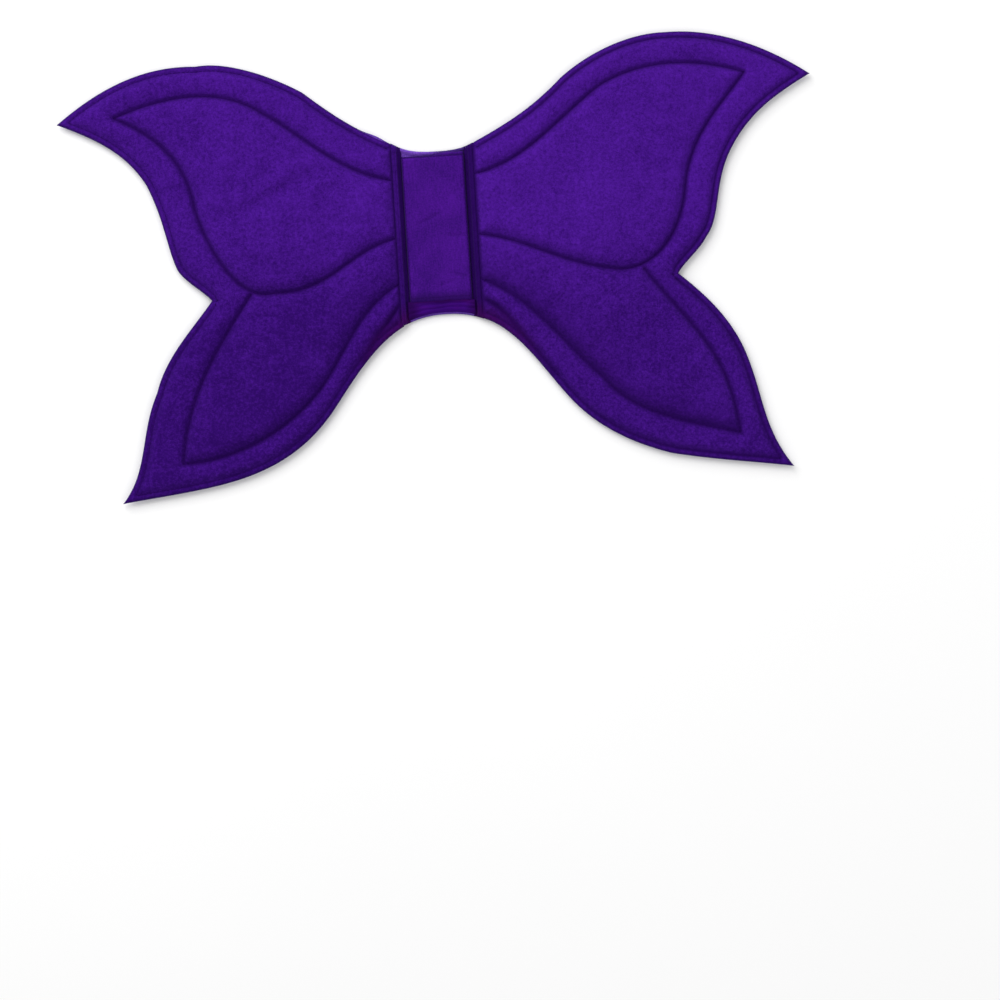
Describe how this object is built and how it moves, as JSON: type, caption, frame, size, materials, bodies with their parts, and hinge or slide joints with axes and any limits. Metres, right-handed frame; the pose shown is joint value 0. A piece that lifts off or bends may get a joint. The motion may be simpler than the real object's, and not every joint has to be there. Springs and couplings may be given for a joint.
{
  "type": "fairy wings",
  "caption": "Child's padded felt fairy wings with quilted cells, a smooth centre band and elastic shoulder loops.",
  "frame": {"origin": "on the back face of the centre band, on the line between the two wings", "axes": "+X along the span to the right seen from the quilted side, +Y to the top of the wings, +Z out of the quilted face"},
  "size_m": [0.488, 0.284, 0.0112],
  "materials": {
    "felt": "matt needled felt",
    "panel_cloth": "smooth plain-weave cotton",
    "lining_cloth": "smooth lining cloth",
    "wadding": "loose polyester fibre",
    "thread": "polyester sewing thread",
    "elastic": "ribbed woven elastic"
  },
  "bodies": {
    "centre_band": {"centre_front_panel": "panel_cloth", "centre_back_panel": "lining_cloth", "centre_interlining": "wadding", "bottom_hem": "panel_cloth", "left_seam_roll": "felt", "right_seam_roll": "felt", "panel_stitching": "thread", "left_strap_tacks": "thread", "right_strap_tacks": "thread"},
    "left_wing": {"left_wing_front": "felt", "left_wing_back": "lining_cloth", "left_wing_wadding": "wadding", "left_edge_stitching": "thread", "left_quilting": "thread"},
    "right_wing": {"right_wing_front": "felt", "right_wing_back": "lining_cloth", "right_wing_wadding": "wadding", "right_edge_stitching": "thread", "right_quilting": "thread"},
    "left_strap": {"left_strap": "elastic"},
    "right_strap": {"right_strap": "elastic"}
  },
  "joints": [
    {"name": "left_wing_fold", "type": "hinge", "parent": "centre_band", "child": "left_wing", "pos_m": [-0.029, 0, 0.0053], "axis": [0, 1, 0], "range_deg": [0, 90]},
    {"name": "right_wing_fold", "type": "hinge", "parent": "centre_band", "child": "right_wing", "pos_m": [0.024, 0, 0.0053], "axis": [0, -1, 0], "range_deg": [0, 90]},
    {"name": "left_strap_swing", "type": "hinge", "parent": "centre_band", "child": "left_strap", "pos_m": [-0.029, 0, 0], "axis": [0, -1, 0], "range_deg": [0, 90]},
    {"name": "right_strap_swing", "type": "hinge", "parent": "centre_band", "child": "right_strap", "pos_m": [0.024, 0, 0], "axis": [0, 1, 0], "range_deg": [0, 90]}
  ]
}
